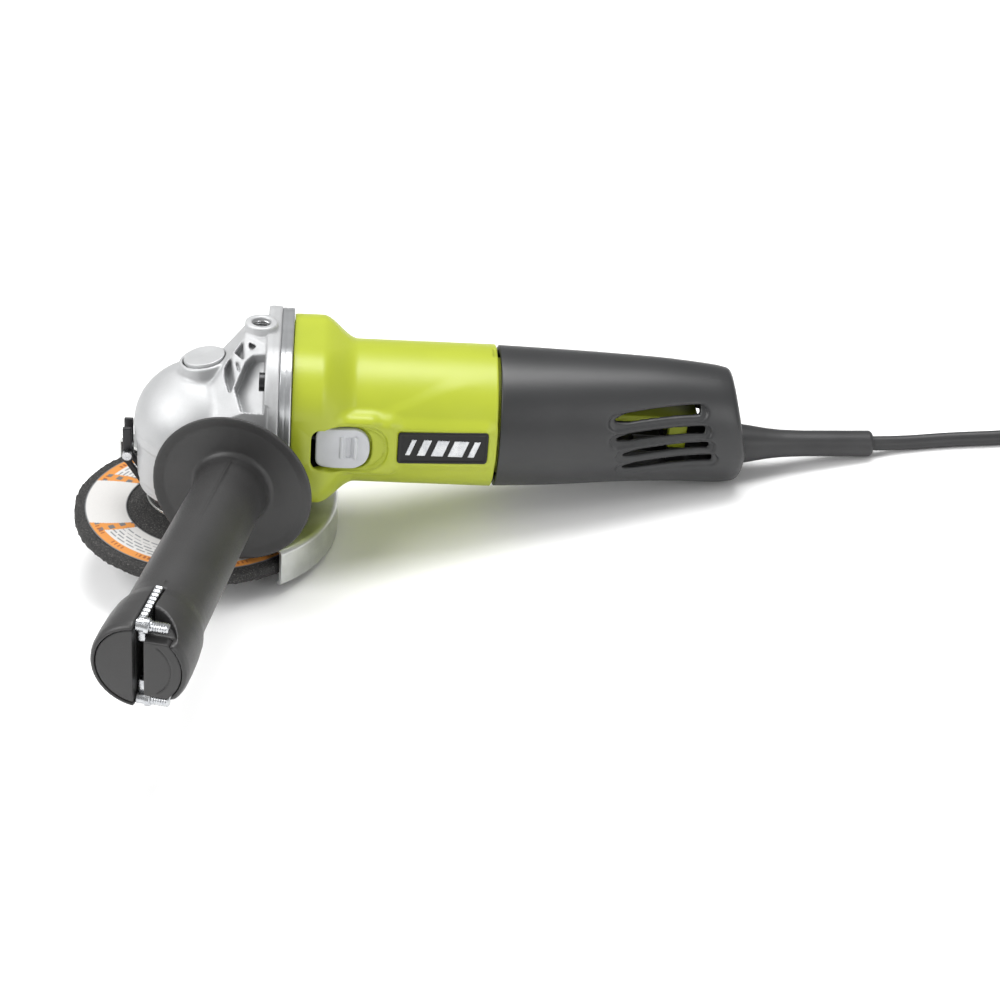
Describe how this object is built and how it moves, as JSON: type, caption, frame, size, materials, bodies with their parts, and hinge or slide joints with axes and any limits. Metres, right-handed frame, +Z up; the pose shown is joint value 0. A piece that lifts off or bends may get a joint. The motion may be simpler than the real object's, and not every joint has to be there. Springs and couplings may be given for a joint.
{
  "type": "angle grinder",
  "caption": "Corded angle grinder with depressed-centre wheel, turning guard, slide switch, spindle lock and a screw-in side handle that stores its pin spanner.",
  "frame": {"origin": "centre of the bounding box's base, on the surface that the guard and the tail rest on, without the lead's coil and plug", "axes": "+X from the wheel towards the tail and the lead, -Y towards the side handle, +Z up; the motor's axis drops 11.71 degrees towards +X"},
  "size_m": [0.5615, 0.238, 0.1104],
  "materials": {
    "cast_case": "satin",
    "green_housing": "satin",
    "dark_housing": "satin",
    "grip_plastic": "satin",
    "steel": "satin",
    "bearing_steel": "satin",
    "bronze": "satin",
    "zinc_plate": "satin",
    "black_steel": "satin",
    "abrasive": "rough",
    "paper_label": "satin",
    "button_silver": "satin",
    "switch_grey": "satin",
    "black_plastic": "matte",
    "laminations": "satin",
    "copper_wire": "gloss",
    "carbon": "matte",
    "black_rubber": "matte"
  },
  "bodies": {
    "tool": {"air_baffle": "black_plastic", "badge_plate": "black_plastic", "bearing_plate": "cast_case", "bearing_retainer": "cast_case", "brush_holders": "bronze", "brush_springs": "steel", "carbon_brushes": "carbon", "cord": "black_rubber", "cord_clamp": "black_plastic", "cord_clamp_screws": "steel", "cord_coil": "black_rubber", "front_bearing": "bearing_steel", "gear_case": "cast_case", "gear_case_screws": "steel", "handle_cap_front": "grip_plastic", "handle_cap_rear": "grip_plastic", "inner_lead": "black_rubber", "motor_housing": "green_housing", "plug_blades": "steel", "plug_body": "black_rubber", "plug_lead": "black_rubber", "rear_bearing": "bearing_steel", "rear_bearing_sleeve": "black_rubber", "rear_sleeve": "dark_housing", "retainer_screws": "steel", "side_handle_grip": "grip_plastic", "side_handle_stud": "steel", "spindle_bearing": "bearing_steel", "spindle_lock_spring": "steel", "spindle_top_bush": "bronze", "stator_coils": "copper_wire", "stator_core": "laminations", "strain_relief": "black_rubber", "suppressor": "black_plastic", "switch_body": "black_plastic"},
    "wheel_spindle": {"spindle": "steel", "bevel_gear": "steel", "inner_flange": "steel", "lock_nut": "steel", "grinding_wheel": "abrasive", "wheel_arbor_ring": "steel", "wheel_label": "paper_label"},
    "armature": {"armature_shaft": "steel", "armature_core": "laminations", "armature_windings": "copper_wire", "commutator": "copper_wire", "cooling_fan": "black_plastic", "bevel_pinion": "steel"},
    "lock_button": {"spindle_lock_button": "button_silver", "spindle_lock_pin": "steel"},
    "power_slider": {"switch_slider": "switch_grey", "switch_link": "black_plastic"},
    "guard": {"wheel_guard": "zinc_plate", "wheel_guard_skirt": "zinc_plate", "guard_clamp_band": "black_steel", "guard_clamp_screw": "zinc_plate", "guard_clamp_nut": "zinc_plate"},
    "spanner": {"pin_spanner": "zinc_plate", "spanner_pins": "zinc_plate"}
  },
  "joints": [
    {"name": "spindle_spin", "type": "hinge", "parent": "tool", "child": "wheel_spindle", "pos_m": [-0.11199, 0.05848, 0.07299], "axis": [0.2029, 0, 0.9792], "continuous": true},
    {"name": "armature_spin", "type": "hinge", "parent": "tool", "child": "armature", "pos_m": [-0.11199, 0.05848, 0.07299], "axis": [0.9792, 0, -0.2029], "continuous": true},
    {"name": "spindle_lock_press", "type": "slide", "parent": "tool", "child": "lock_button", "axis": [-0.2029, 0, -0.9792], "range_m": [0, 0.004], "stiffness_N_per_m": 900, "springref_m": -0.0015, "deforming": ["spindle_lock_spring"]},
    {"name": "switch_slide", "type": "slide", "parent": "tool", "child": "power_slider", "axis": [-0.9792, 0, 0.2029], "range_m": [0, 0.005], "stiffness_N_per_m": 700, "springref_m": -0.001},
    {"name": "guard_turn", "type": "hinge", "parent": "tool", "child": "guard", "pos_m": [-0.11199, 0.05848, 0.07299], "axis": [0.2029, 0, 0.9792], "range_deg": [0, 70]},
    {"name": "spanner_slide", "type": "slide", "parent": "tool", "child": "spanner", "axis": [-0.2119, -0.9763, 0.0439], "range_m": [0, 0.095]}
  ],
  "couplings": [
    {"joint": "armature_spin", "follows": "spindle_spin", "ratio": 3.3636}
  ]
}
